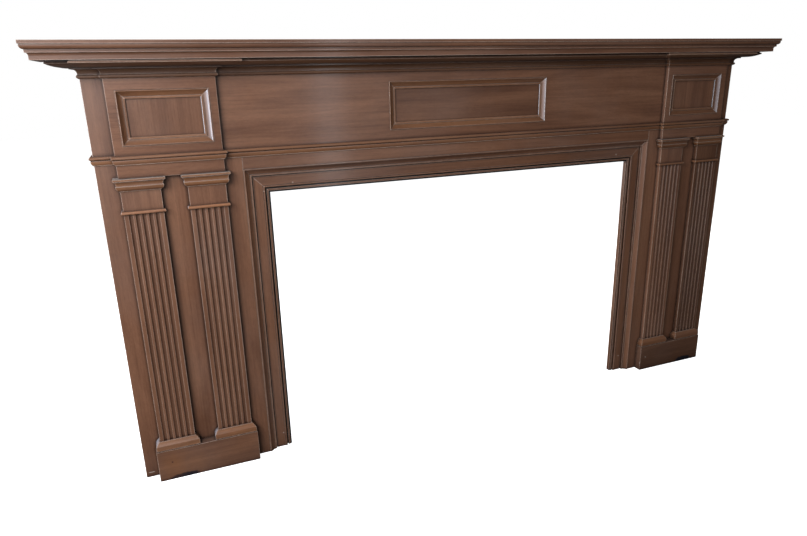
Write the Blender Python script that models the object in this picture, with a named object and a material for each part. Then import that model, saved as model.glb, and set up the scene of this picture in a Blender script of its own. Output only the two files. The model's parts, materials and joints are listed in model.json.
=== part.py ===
"""Walnut fireplace mantel, modelled as the joiner would put it together.

Frame: X runs along the shelf, +X to the right seen from the front.
The front faces -Y, the wall is at WALL_Y, Z is up and the floor is Z = 0.
All sizes are metres.
"""
import math

import bmesh
import bpy
from mathutils import Vector

# Fits between neighbouring pieces
CLEARANCE = 0.0003
MITRE_SHIFT = 0.00022
CURVE_STEPS = 6
BEAD_STEPS = 4

# Depth planes: the face of the frieze is Y = 0
FRIEZE_Y = 0.0
BLOCK_RISE = 0.015
PLINTH_RISE = 0.0135
STRIP_SETBACK = 0.012
BOARD_THICKNESS = 0.020
BLOCK_FRONT_Y = FRIEZE_Y - BLOCK_RISE
PLINTH_FRONT_Y = BLOCK_FRONT_Y - PLINTH_RISE
STRIP_Y = FRIEZE_Y + STRIP_SETBACK

# Widths, from the centre line outwards
OPENING_HALF_WIDTH = 0.657
LINING_WIDTH = 0.0153
ARCHITRAVE_WIDTH = 0.0594
LEG_MARGIN = 0.0385
PLINTH_OVERHANG = 0.0145
PILASTER_WIDTH = 0.102
PILASTER_GAP = 0.0705
BLOCK_OVERHANG = 0.0025
STRIP_WIDTH = 0.0545
ARCHITRAVE_OUTER_X = OPENING_HALF_WIDTH + LINING_WIDTH + CLEARANCE + ARCHITRAVE_WIDTH
PLINTH_INNER_X = ARCHITRAVE_OUTER_X + LEG_MARGIN
PILASTER_B_INNER_X = PLINTH_INNER_X + PLINTH_OVERHANG
PILASTER_A_INNER_X = PILASTER_B_INNER_X + PILASTER_WIDTH + PILASTER_GAP
BLOCK_INNER_X = PILASTER_B_INNER_X - BLOCK_OVERHANG
BLOCK_OUTER_X = PILASTER_A_INNER_X + PILASTER_WIDTH
PLINTH_OUTER_X = BLOCK_OUTER_X + PLINTH_OVERHANG
STRIP_OUTER_X = BLOCK_OUTER_X + STRIP_WIDTH

# Flutes
FLUTE_COUNT = 5
FLUTE_WIDTH = 0.011
FLUTE_PITCH = 0.017
FLUTE_DEPTH = 0.0042
FLUTE_STEPS = 6
FLUTE_TUCK = 0.0030

# Plinth and base mould, heights run up
PLINTH_HEIGHT = 0.1015
BASE_PROJECTION = 0.0120
BASE_QUIRK_PROJECTION = 0.0098
BASE_QUIRK_HEIGHT = 0.0018
BASE_BEVEL_TOP_PROJECTION = 0.0022
BASE_BEVEL_SAGITTA = 0.0012
BASE_FACE_HEIGHT = 0.0150
BASE_BEVEL_HEIGHT = 0.0125
BASE_CAP_HEIGHT = 0.0015
BASE_BEVEL_FOOT_Z = PLINTH_HEIGHT + BASE_FACE_HEIGHT
BASE_BEVEL_TOP_Z = BASE_BEVEL_FOOT_Z + BASE_BEVEL_HEIGHT
BASE_TOP_Z = BASE_BEVEL_TOP_Z + BASE_CAP_HEIGHT

# Opening and architrave heights
OPENING_HEIGHT = 0.8555
ARCHITRAVE_TOP_Z = OPENING_HEIGHT + LINING_WIDTH + CLEARANCE + ARCHITRAVE_WIDTH

# Capital and astragal, heights run down from the block above
CAPITAL_DROP = 0.0002
CAPITAL_FILLET_HEIGHT = 0.0052
CAPITAL_QUIRK_HEIGHT = 0.0016
CAPITAL_COVE_HEIGHT = 0.0127
CAPITAL_OVOLO_HEIGHT = 0.0127
CAPITAL_HEEL_HEIGHT = 0.0013
CAPITAL_PROJECTION = 0.0145
CAPITAL_QUIRK_PROJECTION = 0.0110
CAPITAL_COVE_TOP_PROJECTION = 0.0122
CAPITAL_COVE_FOOT_PROJECTION = 0.0085
CAPITAL_COVE_SAGITTA = 0.0021
CAPITAL_OVOLO_TOP_PROJECTION = 0.0095
CAPITAL_OVOLO_FOOT_PROJECTION = 0.0020
CAPITAL_OVOLO_SAGITTA = 0.0022
LINTEL_BOTTOM_Z = ARCHITRAVE_TOP_Z - CAPITAL_DROP
CAPITAL_TOP_Z = LINTEL_BOTTOM_Z - CLEARANCE
CAPITAL_FILLET_BOTTOM_Z = CAPITAL_TOP_Z - CAPITAL_FILLET_HEIGHT
CAPITAL_QUIRK_BOTTOM_Z = CAPITAL_FILLET_BOTTOM_Z - CAPITAL_QUIRK_HEIGHT
CAPITAL_COVE_FOOT_Z = CAPITAL_QUIRK_BOTTOM_Z - CAPITAL_COVE_HEIGHT
CAPITAL_OVOLO_FOOT_Z = CAPITAL_COVE_FOOT_Z - CAPITAL_OVOLO_HEIGHT
CAPITAL_BOTTOM_Z = CAPITAL_OVOLO_FOOT_Z - CAPITAL_HEEL_HEIGHT
PILASTER_NECK_HEIGHT = 0.0550
ASTRAGAL_HEIGHT = 0.0085
ASTRAGAL_BASE = 0.0024
ASTRAGAL_SAGITTA = 0.0042
ASTRAGAL_TOP_Z = CAPITAL_BOTTOM_Z - PILASTER_NECK_HEIGHT
ASTRAGAL_BOTTOM_Z = ASTRAGAL_TOP_Z - ASTRAGAL_HEIGHT

# Necking mould below the frieze, heights run up
LINTEL_HEIGHT = 0.0357
NECK_HEEL_HEIGHT = 0.0012
NECK_OVOLO_HEIGHT = 0.0116
NECK_QUIRK_HEIGHT = 0.0012
NECK_GAP_HEIGHT = 0.0008
NECK_TORUS_HEIGHT = 0.0077
NECK_CAP_HEIGHT = 0.0010
NECK_TOP_PROJECTION = 0.0035
NECK_TORUS_BASE = 0.0062
NECK_TORUS_SAGITTA = 0.0036
NECK_QUIRK_PROJECTION = 0.0046
NECK_OVOLO_TOP_PROJECTION = 0.0064
NECK_OVOLO_FOOT_PROJECTION = 0.0022
NECK_OVOLO_SAGITTA = 0.0016
RAIL_TUCK = 0.0120
NECK_BOTTOM_Z = LINTEL_BOTTOM_Z + LINTEL_HEIGHT
NECK_OVOLO_FOOT_Z = NECK_BOTTOM_Z + NECK_HEEL_HEIGHT
NECK_OVOLO_TOP_Z = NECK_OVOLO_FOOT_Z + NECK_OVOLO_HEIGHT
NECK_QUIRK_Z = NECK_OVOLO_TOP_Z + NECK_QUIRK_HEIGHT
NECK_TORUS_BOTTOM_Z = NECK_QUIRK_Z + NECK_GAP_HEIGHT
NECK_TORUS_TOP_Z = NECK_TORUS_BOTTOM_Z + NECK_TORUS_HEIGHT
NECK_TOP_Z = NECK_TORUS_TOP_Z + NECK_CAP_HEIGHT
RAIL_TOP_Z = NECK_BOTTOM_Z + RAIL_TUCK

# Bed mould under the shelf, heights run up
FRIEZE_HEIGHT = 0.1970
BED_HEEL_HEIGHT = 0.0015
BED_BEAD_HEIGHT = 0.0082
BED_STEP_HEIGHT = 0.0013
BED_COVE_HEIGHT = 0.0130
BED_FILLET_HEIGHT = 0.0042
BED_SOFFIT_RISE = 0.0090
BED_NOSE_HEIGHT = 0.0040
BED_QUIRK_HEIGHT = 0.0033
BED_BOTTOM_PROJECTION = 0.0012
BED_BEAD_BASE = 0.0030
BED_BEAD_SAGITTA = 0.0034
BED_COVE_FOOT_PROJECTION = 0.0030
BED_COVE_TOP_PROJECTION = 0.0125
BED_COVE_SAGITTA = 0.0034
BED_FILLET_PROJECTION = 0.0186
BED_SOFFIT_INNER = 0.0200
BED_SOFFIT_SAGITTA = 0.0038
BED_NOSE_PROJECTION = 0.0660
BED_NOSE_TOP_PROJECTION = 0.0645
BED_QUIRK_PROJECTION = 0.0612
BED_BOTTOM_Z = NECK_TOP_Z + FRIEZE_HEIGHT
BED_BEAD_BOTTOM_Z = BED_BOTTOM_Z + BED_HEEL_HEIGHT
BED_BEAD_TOP_Z = BED_BEAD_BOTTOM_Z + BED_BEAD_HEIGHT
BED_COVE_FOOT_Z = BED_BEAD_TOP_Z + BED_STEP_HEIGHT
BED_FILLET_BOTTOM_Z = BED_COVE_FOOT_Z + BED_COVE_HEIGHT
BED_SOFFIT_INNER_Z = BED_FILLET_BOTTOM_Z + BED_FILLET_HEIGHT
BED_NOSE_Z = BED_SOFFIT_INNER_Z + BED_SOFFIT_RISE
BED_NOSE_TOP_Z = BED_NOSE_Z + BED_NOSE_HEIGHT
SHELF_SOFFIT_Z = BED_NOSE_TOP_Z + BED_QUIRK_HEIGHT

# Shelf, projections are from the strip plane
SHELF_UNDERBOARD_THICKNESS = 0.0235
SHELF_THICKNESS = 0.0205
SHELF_PROJECTION = 0.1075
SHELF_FILLET_HEIGHT = 0.008
SHELF_QUIRK_DEPTH = 0.0022
SHELF_QUIRK_HEIGHT = 0.0016
SHELF_OVOLO_INSET = 0.0090
SHELF_OVOLO_SAGITTA = 0.0029
UNDERBOARD_FILLET_INSET = 0.0100
UNDERBOARD_FILLET_HEIGHT = 0.0070
UNDERBOARD_COVE_INSET = 0.0125
UNDERBOARD_COVE_HEIGHT = 0.0085
UNDERBOARD_COVE_SAGITTA = 0.0014
UNDERBOARD_FASCIA_INSET = 0.0163
SHELF_JOINT_Z = SHELF_SOFFIT_Z + SHELF_UNDERBOARD_THICKNESS
SHELF_TOP_Z = SHELF_JOINT_Z + SHELF_THICKNESS
WALL_Y = SHELF_PROJECTION - STRIP_SETBACK

# Sunk panels and the mould round them; depths are from the board's face
BLOCK_STILE_INNER = 0.0207
BLOCK_STILE_OUTER = 0.0233
BLOCK_RAIL_BELOW = 0.0250
BLOCK_RAIL_ABOVE = 0.0297
CENTRE_PANEL_HALF_WIDTH = 0.2795
CENTRE_RAIL_BELOW = 0.0283
CENTRE_RAIL_ABOVE = 0.0257
PANEL_SINK = 0.0085
FRAME_BEAD_WIDTH = 0.0032
FRAME_BEAD_RISE = 0.0006
FRAME_BEAD_SAGITTA = 0.0012
FRAME_HOLLOW_START = 0.0036
FRAME_HOLLOW_END = 0.0160
FRAME_HOLLOW_DEPTH = 0.0068
FRAME_HOLLOW_SAGITTA = 0.0012
FRAME_FILLET_START = 0.0166
FRAME_FILLET_END = 0.0210
FRAME_FILLET_DEPTH = 0.0052
FRAME_WIDTH = 0.0225
FRAME_INNER_DEPTH = 0.0068
BLOCK_PANEL_INNER_X = BLOCK_INNER_X + BLOCK_STILE_INNER
BLOCK_PANEL_OUTER_X = BLOCK_OUTER_X - BLOCK_STILE_OUTER
BLOCK_PANEL_BOTTOM_Z = NECK_TOP_Z + BLOCK_RAIL_BELOW
BLOCK_PANEL_TOP_Z = BED_BOTTOM_Z - BLOCK_RAIL_ABOVE
CENTRE_PANEL_BOTTOM_Z = NECK_TOP_Z + CENTRE_RAIL_BELOW
CENTRE_PANEL_TOP_Z = BED_BOTTOM_Z - CENTRE_RAIL_ABOVE

# Architrave section: runs are from its outer edge, depths from the frieze face
ARCHITRAVE_RIDGE_RISE = 0.0015
ARCHITRAVE_RIDGE_WIDTH = 0.0035
ARCHITRAVE_OGEE_END = 0.0170
ARCHITRAVE_OGEE_DEPTH = 0.0090
ARCHITRAVE_OGEE_SAGITTA = 0.0013
ARCHITRAVE_STEP_DEPTH = 0.0125
ARCHITRAVE_STEP_WIDTH = 0.0012
ARCHITRAVE_FILLET_WIDTH = 0.0043
ARCHITRAVE_FILLET_DEPTH = 0.0095
ARCHITRAVE_QUIRK_WIDTH = 0.0037
ARCHITRAVE_QUIRK_DEPTH = 0.0178
ARCHITRAVE_FLAT_DEPTH = 0.0155
ARCHITRAVE_BEAD_WIDTH = 0.0050
ARCHITRAVE_BEAD_QUIRK = 0.0011
ARCHITRAVE_BEAD_QUIRK_DEPTH = 0.0014
ARCHITRAVE_BEAD_SAGITTA = 0.0013
ARCHITRAVE_BACK_DEPTH = 0.0360
ARCHITRAVE_FILLET_START = ARCHITRAVE_OGEE_END + ARCHITRAVE_STEP_WIDTH
ARCHITRAVE_FILLET_END = ARCHITRAVE_FILLET_START + ARCHITRAVE_FILLET_WIDTH
ARCHITRAVE_QUIRK_END = ARCHITRAVE_FILLET_END + ARCHITRAVE_QUIRK_WIDTH
ARCHITRAVE_BEAD_START = ARCHITRAVE_WIDTH - ARCHITRAVE_BEAD_WIDTH
ARCHITRAVE_QUIRK_FOOT = ARCHITRAVE_BEAD_START - ARCHITRAVE_BEAD_QUIRK

# Lining of the opening
LINING_GROOVE_WIDTH = 0.0045
LINING_FACE_WIDTH = 0.0058
LINING_FRONT_DEPTH = 0.0185
LINING_GROOVE_DEPTH = 0.0250
LINING_REBATE_DEPTH = 0.0215
LINING_BACK_DEPTH = 0.0360

WOOD_ROUGHNESS = 0.42
RAIL_COLOUR = (0.120, 0.058, 0.033)
STILE_COLOUR = (0.135, 0.066, 0.038)
MOULD_COLOUR = (0.105, 0.050, 0.029)

RIGHT = 1
LEFT = -1
SIDE_NAMES = ((LEFT, "left"), (RIGHT, "right"))


def clear_scene():
    """Start from an empty file."""
    for old in list(bpy.data.objects):
        bpy.data.objects.remove(old)


def wood(node_name, colour):
    """One walnut material for one piece."""
    material = bpy.data.materials.new("walnut_" + node_name)
    material.use_nodes = True
    shader = material.node_tree.nodes["Principled BSDF"]
    shader.inputs["Base Color"].default_value = (colour[0], colour[1], colour[2], 1.0)
    shader.inputs["Roughness"].default_value = WOOD_ROUGHNESS
    return material


def add_solid(node_name, points, faces, colour):
    """Turn points and faces into one closed, named piece."""
    mesh = bpy.data.meshes.new(node_name)
    body = bmesh.new()
    verts = [body.verts.new(point) for point in points]
    for face in faces:
        body.faces.new([verts[index] for index in face])
    bmesh.ops.recalc_face_normals(body, faces=body.faces)
    body.to_mesh(mesh)
    body.free()
    mesh.materials.append(wood(node_name, colour))
    piece = bpy.data.objects.new(node_name, mesh)
    bpy.context.collection.objects.link(piece)
    return piece


def loft(node_name, rings, colour):
    """Join equal rings of points end to end and close both ends."""
    size = len(rings[0])
    points = [point for ring in rings for point in ring]
    faces = []
    for level in range(len(rings) - 1):
        low = level * size
        high = low + size
        for step in range(size):
            following = (step + 1) % size
            faces.append((low + step, low + following, high + following, high + step))
    faces.append(tuple(range(size)))
    last = (len(rings) - 1) * size
    faces.append(tuple(last + step for step in range(size)))
    return add_solid(node_name, points, faces, colour)


def box(node_name, low, high, colour):
    """A plain board between two opposite corners."""
    rings = []
    for z in (low[2], high[2]):
        rings.append([
            (low[0], low[1], z),
            (high[0], low[1], z),
            (high[0], high[1], z),
            (low[0], high[1], z),
        ])
    return loft(node_name, rings, colour)


def sided(side, inner_x, outer_x):
    """The two X limits of a piece on one side, smaller first."""
    return tuple(sorted((side * inner_x, side * outer_x)))


def bow(start, end, sagitta, steps=CURVE_STEPS):
    """Points of a shallow arc from start to end, both included.

    A positive sagitta swells to the right of the direction of travel.
    """
    along = (end[0] - start[0], end[1] - start[1])
    chord = math.hypot(along[0], along[1])
    swell = (along[1] / chord, -along[0] / chord)
    radius = (chord * chord / 4.0 + sagitta * sagitta) / (2.0 * abs(sagitta))
    half_angle = math.asin(min(1.0, chord / (2.0 * radius)))
    if abs(sagitta) > chord / 2.0:
        half_angle = math.pi - half_angle
    points = []
    for index in range(steps + 1):
        angle = half_angle * (2.0 * index / steps - 1.0)
        run = radius * math.sin(angle) + chord / 2.0
        rise = radius * math.cos(angle) - radius + abs(sagitta)
        rise = math.copysign(rise, sagitta)
        points.append((
            start[0] + along[0] / chord * run + swell[0] * rise,
            start[1] + along[1] / chord * run + swell[1] * rise,
        ))
    points[0] = start
    points[-1] = end
    return points


def shelf_edge():
    """Edge of the shelf board from its underside up: (projection, height)."""
    fillet_z = SHELF_TOP_Z - SHELF_FILLET_HEIGHT
    quirk_z = fillet_z - SHELF_QUIRK_HEIGHT
    crown = (SHELF_PROJECTION - SHELF_QUIRK_DEPTH, quirk_z)
    foot = (SHELF_PROJECTION - SHELF_OVOLO_INSET, SHELF_JOINT_Z + CLEARANCE)
    points = bow(foot, crown, SHELF_OVOLO_SAGITTA)
    points.append((SHELF_PROJECTION - SHELF_QUIRK_DEPTH, fillet_z))
    points.append((SHELF_PROJECTION, fillet_z))
    points.append((SHELF_PROJECTION, SHELF_TOP_Z))
    return points


def underboard_edge():
    """Edge of the board under the shelf from its underside up."""
    fascia = SHELF_PROJECTION - UNDERBOARD_FASCIA_INSET
    fillet = SHELF_PROJECTION - UNDERBOARD_FILLET_INSET
    cove_top = (SHELF_PROJECTION - UNDERBOARD_COVE_INSET, SHELF_JOINT_Z - UNDERBOARD_FILLET_HEIGHT)
    cove_foot = (fascia, cove_top[1] - UNDERBOARD_COVE_HEIGHT)
    points = [(fascia, SHELF_SOFFIT_Z)]
    points += bow(cove_foot, cove_top, -UNDERBOARD_COVE_SAGITTA)
    points.append((fillet, cove_top[1]))
    points.append((fillet, SHELF_JOINT_Z))
    return points


def moulded_plate(node_name, edge, colour):
    """A board whose front and two ends carry the same moulded edge."""
    rings = []
    for projection, z in edge:
        half = STRIP_OUTER_X + projection
        front = STRIP_Y - projection
        rings.append([(-half, front, z), (half, front, z), (half, WALL_Y, z), (-half, WALL_Y, z)])
    return loft(node_name, rings, colour)


def bed_profile():
    """Bed mould from its foot up: (projection, height)."""
    points = [(CLEARANCE, BED_BOTTOM_Z), (BED_BOTTOM_PROJECTION, BED_BOTTOM_Z)]
    points += bow((BED_BEAD_BASE, BED_BEAD_BOTTOM_Z), (BED_BEAD_BASE, BED_BEAD_TOP_Z), BED_BEAD_SAGITTA)
    points += bow(
        (BED_COVE_FOOT_PROJECTION, BED_COVE_FOOT_Z),
        (BED_COVE_TOP_PROJECTION, BED_FILLET_BOTTOM_Z),
        -BED_COVE_SAGITTA,
    )
    points.append((BED_FILLET_PROJECTION, BED_FILLET_BOTTOM_Z))
    points.append((BED_FILLET_PROJECTION, BED_SOFFIT_INNER_Z))
    points += bow(
        (BED_SOFFIT_INNER, BED_SOFFIT_INNER_Z),
        (BED_NOSE_PROJECTION, BED_NOSE_Z),
        BED_SOFFIT_SAGITTA,
    )
    points.append((BED_NOSE_TOP_PROJECTION, BED_NOSE_TOP_Z))
    points.append((BED_QUIRK_PROJECTION, BED_NOSE_TOP_Z))
    points.append((BED_QUIRK_PROJECTION, SHELF_SOFFIT_Z - CLEARANCE))
    points.append((CLEARANCE, SHELF_SOFFIT_Z - CLEARANCE))
    return points


def neck_profile():
    """Necking mould from its foot up."""
    points = [(CLEARANCE, NECK_BOTTOM_Z), (NECK_OVOLO_FOOT_PROJECTION, NECK_BOTTOM_Z)]
    points += bow(
        (NECK_OVOLO_FOOT_PROJECTION, NECK_OVOLO_FOOT_Z),
        (NECK_OVOLO_TOP_PROJECTION, NECK_OVOLO_TOP_Z),
        NECK_OVOLO_SAGITTA,
    )
    points.append((NECK_QUIRK_PROJECTION, NECK_QUIRK_Z))
    points += bow(
        (NECK_TORUS_BASE, NECK_TORUS_BOTTOM_Z),
        (NECK_TORUS_BASE, NECK_TORUS_TOP_Z),
        NECK_TORUS_SAGITTA,
    )
    points.append((NECK_TOP_PROJECTION, NECK_TOP_Z))
    points.append((CLEARANCE, NECK_TOP_Z))
    return points


def capital_profile():
    """Capital from its foot up."""
    points = [(CLEARANCE, CAPITAL_BOTTOM_Z), (CAPITAL_OVOLO_FOOT_PROJECTION, CAPITAL_BOTTOM_Z)]
    points += bow(
        (CAPITAL_OVOLO_FOOT_PROJECTION, CAPITAL_OVOLO_FOOT_Z),
        (CAPITAL_OVOLO_TOP_PROJECTION, CAPITAL_COVE_FOOT_Z - CLEARANCE),
        CAPITAL_OVOLO_SAGITTA,
    )
    points += bow(
        (CAPITAL_COVE_FOOT_PROJECTION, CAPITAL_COVE_FOOT_Z),
        (CAPITAL_COVE_TOP_PROJECTION, CAPITAL_QUIRK_BOTTOM_Z),
        -CAPITAL_COVE_SAGITTA,
    )
    points.append((CAPITAL_QUIRK_PROJECTION, CAPITAL_QUIRK_BOTTOM_Z))
    points.append((CAPITAL_QUIRK_PROJECTION, CAPITAL_FILLET_BOTTOM_Z))
    points.append((CAPITAL_PROJECTION, CAPITAL_FILLET_BOTTOM_Z))
    points.append((CAPITAL_PROJECTION, CAPITAL_TOP_Z))
    points.append((CLEARANCE, CAPITAL_TOP_Z))
    return points


def astragal_profile():
    """Small bead round the top of the fluted shaft."""
    points = [(CLEARANCE, ASTRAGAL_BOTTOM_Z)]
    points += bow((ASTRAGAL_BASE, ASTRAGAL_BOTTOM_Z), (ASTRAGAL_BASE, ASTRAGAL_TOP_Z), ASTRAGAL_SAGITTA)
    points.append((CLEARANCE, ASTRAGAL_TOP_Z))
    return points


def base_profile():
    """Base mould from the plinth up."""
    foot = PLINTH_HEIGHT + CLEARANCE
    quirk_top = foot + BASE_QUIRK_HEIGHT
    points = [(CLEARANCE, foot), (BASE_QUIRK_PROJECTION, foot)]
    points.append((BASE_QUIRK_PROJECTION, quirk_top))
    points.append((BASE_PROJECTION, quirk_top))
    points += bow(
        (BASE_PROJECTION, BASE_BEVEL_FOOT_Z),
        (BASE_BEVEL_TOP_PROJECTION, BASE_BEVEL_TOP_Z),
        BASE_BEVEL_SAGITTA,
    )
    points.append((BASE_BEVEL_TOP_PROJECTION, BASE_TOP_Z))
    points.append((CLEARANCE, BASE_TOP_Z))
    return points


def outward(start, end):
    """Unit vector square to a run of the plan, pointing out of the wood."""
    along = Vector((end[0] - start[0], end[1] - start[1])).normalized()
    return Vector((-along.y, along.x))


def corner_offsets(path):
    """For each corner of a plan, the move that a projection of one makes."""
    normals = [outward(path[i], path[i + 1]) for i in range(len(path) - 1)]
    offsets = [normals[0]]
    for before, after in zip(normals, normals[1:]):
        offsets.append(before + after)
    offsets.append(normals[-1])
    return offsets


def swept_mould(node_name, path, first, last, profile, side, colour):
    """Run a profile round part of a plan, with mitred corners.

    Where the part stops at a corner in the middle of the plan it is mitred
    there and drawn back by MITRE_SHIFT, so the next length has its gap.
    """
    offsets = corner_offsets(path)
    rings = []
    for index in range(first, last + 1):
        shift = Vector((0.0, 0.0))
        if index == first and index > 0:
            run = Vector(path[index + 1]) - Vector(path[index])
            shift = run.normalized() * MITRE_SHIFT
        if index == last and index < len(path) - 1:
            run = Vector(path[index - 1]) - Vector(path[index])
            shift = run.normalized() * MITRE_SHIFT
        corner = Vector(path[index]) + shift
        ring = []
        for projection, z in profile:
            spot = corner + offsets[index] * projection
            ring.append((side * spot.x, spot.y, z))
        rings.append(ring)
    return loft(node_name, rings, colour)


def course_plan():
    """Plan of the whole front that the bed and necking moulds follow."""
    half = [
        (STRIP_OUTER_X, WALL_Y),
        (STRIP_OUTER_X, STRIP_Y),
        (BLOCK_OUTER_X, STRIP_Y),
        (BLOCK_OUTER_X, BLOCK_FRONT_Y),
        (BLOCK_INNER_X, BLOCK_FRONT_Y),
        (BLOCK_INNER_X, FRIEZE_Y),
    ]
    return half + [(-x, y) for x, y in reversed(half)]


def moulding_course(name, profile):
    """One horizontal mould: a centre length and one round each end."""
    plan = course_plan()
    break_in = len(plan) // 2 - 1
    swept_mould(name + "_centre", plan, break_in, break_in + 1, profile, RIGHT, MOULD_COLOUR)
    for side, side_name in SIDE_NAMES:
        swept_mould(name + "_" + side_name, plan, 0, break_in, profile, side, MOULD_COLOUR)


def frame_profile():
    """Mould round a sunk panel: (distance in from its outer edge, depth)."""
    back = PANEL_SINK - CLEARANCE
    points = [(CLEARANCE, back)]
    points += bow(
        (CLEARANCE, -FRAME_BEAD_RISE),
        (FRAME_BEAD_WIDTH, -FRAME_BEAD_RISE),
        FRAME_BEAD_SAGITTA,
        BEAD_STEPS,
    )
    points += bow(
        (FRAME_HOLLOW_START, 0.0),
        (FRAME_HOLLOW_END, FRAME_HOLLOW_DEPTH),
        -FRAME_HOLLOW_SAGITTA,
    )
    points.append((FRAME_FILLET_START, FRAME_FILLET_DEPTH))
    points.append((FRAME_FILLET_END, FRAME_FILLET_DEPTH))
    points.append((FRAME_WIDTH, FRAME_INNER_DEPTH))
    points.append((FRAME_WIDTH, back))
    return points


def panel_frame(name, low, high, ground_y):
    """Four mitred lengths of mould set in the opening round a panel."""
    corners = [(low[0], low[1]), (high[0], low[1]), (high[0], high[1]), (low[0], high[1])]
    inwards = (Vector((1.0, 1.0)), Vector((-1.0, 1.0)), Vector((-1.0, -1.0)), Vector((1.0, -1.0)))
    part_names = ("bottom", "right", "top", "left")
    profile = frame_profile()
    for index, part_name in enumerate(part_names):
        following = (index + 1) % len(corners)
        run = (Vector(corners[following]) - Vector(corners[index])).normalized()
        rings = []
        for end, shift in ((index, run), (following, -run)):
            ring = []
            for distance, depth in profile:
                spot = Vector(corners[end]) + inwards[end] * distance + shift * MITRE_SHIFT
                ring.append((spot.x, ground_y + depth, spot.y))
            rings.append(ring)
        loft(name + "_" + part_name, rings, MOULD_COLOUR)


def framed_board(node_name, low, high, hole_low, hole_high, front_y, back_y, colour):
    """A board with a rectangular opening cut through it."""
    outer = [(low[0], low[1]), (high[0], low[1]), (high[0], high[1]), (low[0], high[1])]
    inner = [
        (hole_low[0], hole_low[1]),
        (hole_high[0], hole_low[1]),
        (hole_high[0], hole_high[1]),
        (hole_low[0], hole_high[1]),
    ]
    points = []
    for y in (front_y, back_y):
        for x, z in outer + inner:
            points.append((x, y, z))
    faces = []
    for step in range(4):
        following = (step + 1) % 4
        faces.append((step, following, following + 4, step + 4))
        faces.append((step + 8, following + 8, following + 12, step + 12))
        faces.append((step, following, following + 8, step + 8))
        faces.append((step + 4, following + 4, following + 12, step + 12))
    return add_solid(node_name, points, faces, colour)


def sunk_panel(node_name, low, high, ground_y, back_y, colour):
    """Thin panel that fills the opening behind its mould."""
    box(
        node_name,
        (low[0] + CLEARANCE, ground_y + PANEL_SINK, low[1] + CLEARANCE),
        (high[0] - CLEARANCE, back_y, high[1] - CLEARANCE),
        colour,
    )


def architrave_profile():
    """Architrave section: (distance in from the outer edge, depth)."""
    points = [(CLEARANCE, ARCHITRAVE_BACK_DEPTH), (CLEARANCE, -ARCHITRAVE_RIDGE_RISE)]
    points += bow(
        (ARCHITRAVE_RIDGE_WIDTH, -ARCHITRAVE_RIDGE_RISE),
        (ARCHITRAVE_OGEE_END, ARCHITRAVE_OGEE_DEPTH),
        -ARCHITRAVE_OGEE_SAGITTA,
    )
    points.append((ARCHITRAVE_OGEE_END, ARCHITRAVE_STEP_DEPTH))
    points.append((ARCHITRAVE_FILLET_START, ARCHITRAVE_STEP_DEPTH))
    points.append((ARCHITRAVE_FILLET_START, ARCHITRAVE_FILLET_DEPTH))
    points.append((ARCHITRAVE_FILLET_END, ARCHITRAVE_FILLET_DEPTH))
    points.append((ARCHITRAVE_FILLET_END, ARCHITRAVE_QUIRK_DEPTH))
    points.append((ARCHITRAVE_QUIRK_END, ARCHITRAVE_QUIRK_DEPTH))
    points.append((ARCHITRAVE_QUIRK_END, ARCHITRAVE_FLAT_DEPTH))
    points.append((ARCHITRAVE_QUIRK_FOOT, ARCHITRAVE_FLAT_DEPTH))
    points.append((ARCHITRAVE_BEAD_START, ARCHITRAVE_FLAT_DEPTH + ARCHITRAVE_BEAD_QUIRK_DEPTH))
    points += bow(
        (ARCHITRAVE_BEAD_START + CLEARANCE, ARCHITRAVE_FLAT_DEPTH),
        (ARCHITRAVE_WIDTH, ARCHITRAVE_FLAT_DEPTH),
        ARCHITRAVE_BEAD_SAGITTA,
        BEAD_STEPS,
    )
    points.append((ARCHITRAVE_WIDTH, ARCHITRAVE_BACK_DEPTH))
    return points


def lining_profile():
    """Lining of the opening: (distance in from the architrave's edge, depth)."""
    start = ARCHITRAVE_WIDTH + CLEARANCE
    groove_end = start + LINING_GROOVE_WIDTH
    face_end = groove_end + LINING_FACE_WIDTH
    reach = start + LINING_WIDTH
    return [
        (start, LINING_BACK_DEPTH),
        (start, LINING_GROOVE_DEPTH),
        (groove_end, LINING_GROOVE_DEPTH),
        (groove_end, LINING_FRONT_DEPTH),
        (face_end, LINING_FRONT_DEPTH),
        (face_end, LINING_REBATE_DEPTH),
        (reach, LINING_REBATE_DEPTH),
        (reach, LINING_BACK_DEPTH),
    ]


def opening_frame(name, profile, colour_upright, colour_head):
    """Two uprights and a head with mitred upper corners."""
    for side, side_name in SIDE_NAMES:
        foot = []
        head = []
        for run, depth in profile:
            x = side * (ARCHITRAVE_OUTER_X - run)
            foot.append((x, FRIEZE_Y + depth, 0.0))
            head.append((x, FRIEZE_Y + depth, ARCHITRAVE_TOP_Z - run - MITRE_SHIFT))
        loft(name + "_jamb_" + side_name, [foot, head], colour_upright)
    rings = []
    for side in (LEFT, RIGHT):
        ring = []
        for run, depth in profile:
            x = side * (ARCHITRAVE_OUTER_X - run - MITRE_SHIFT)
            ring.append((x, FRIEZE_Y + depth, ARCHITRAVE_TOP_Z - run))
        rings.append(ring)
    loft(name + "_head", rings, colour_head)


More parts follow.
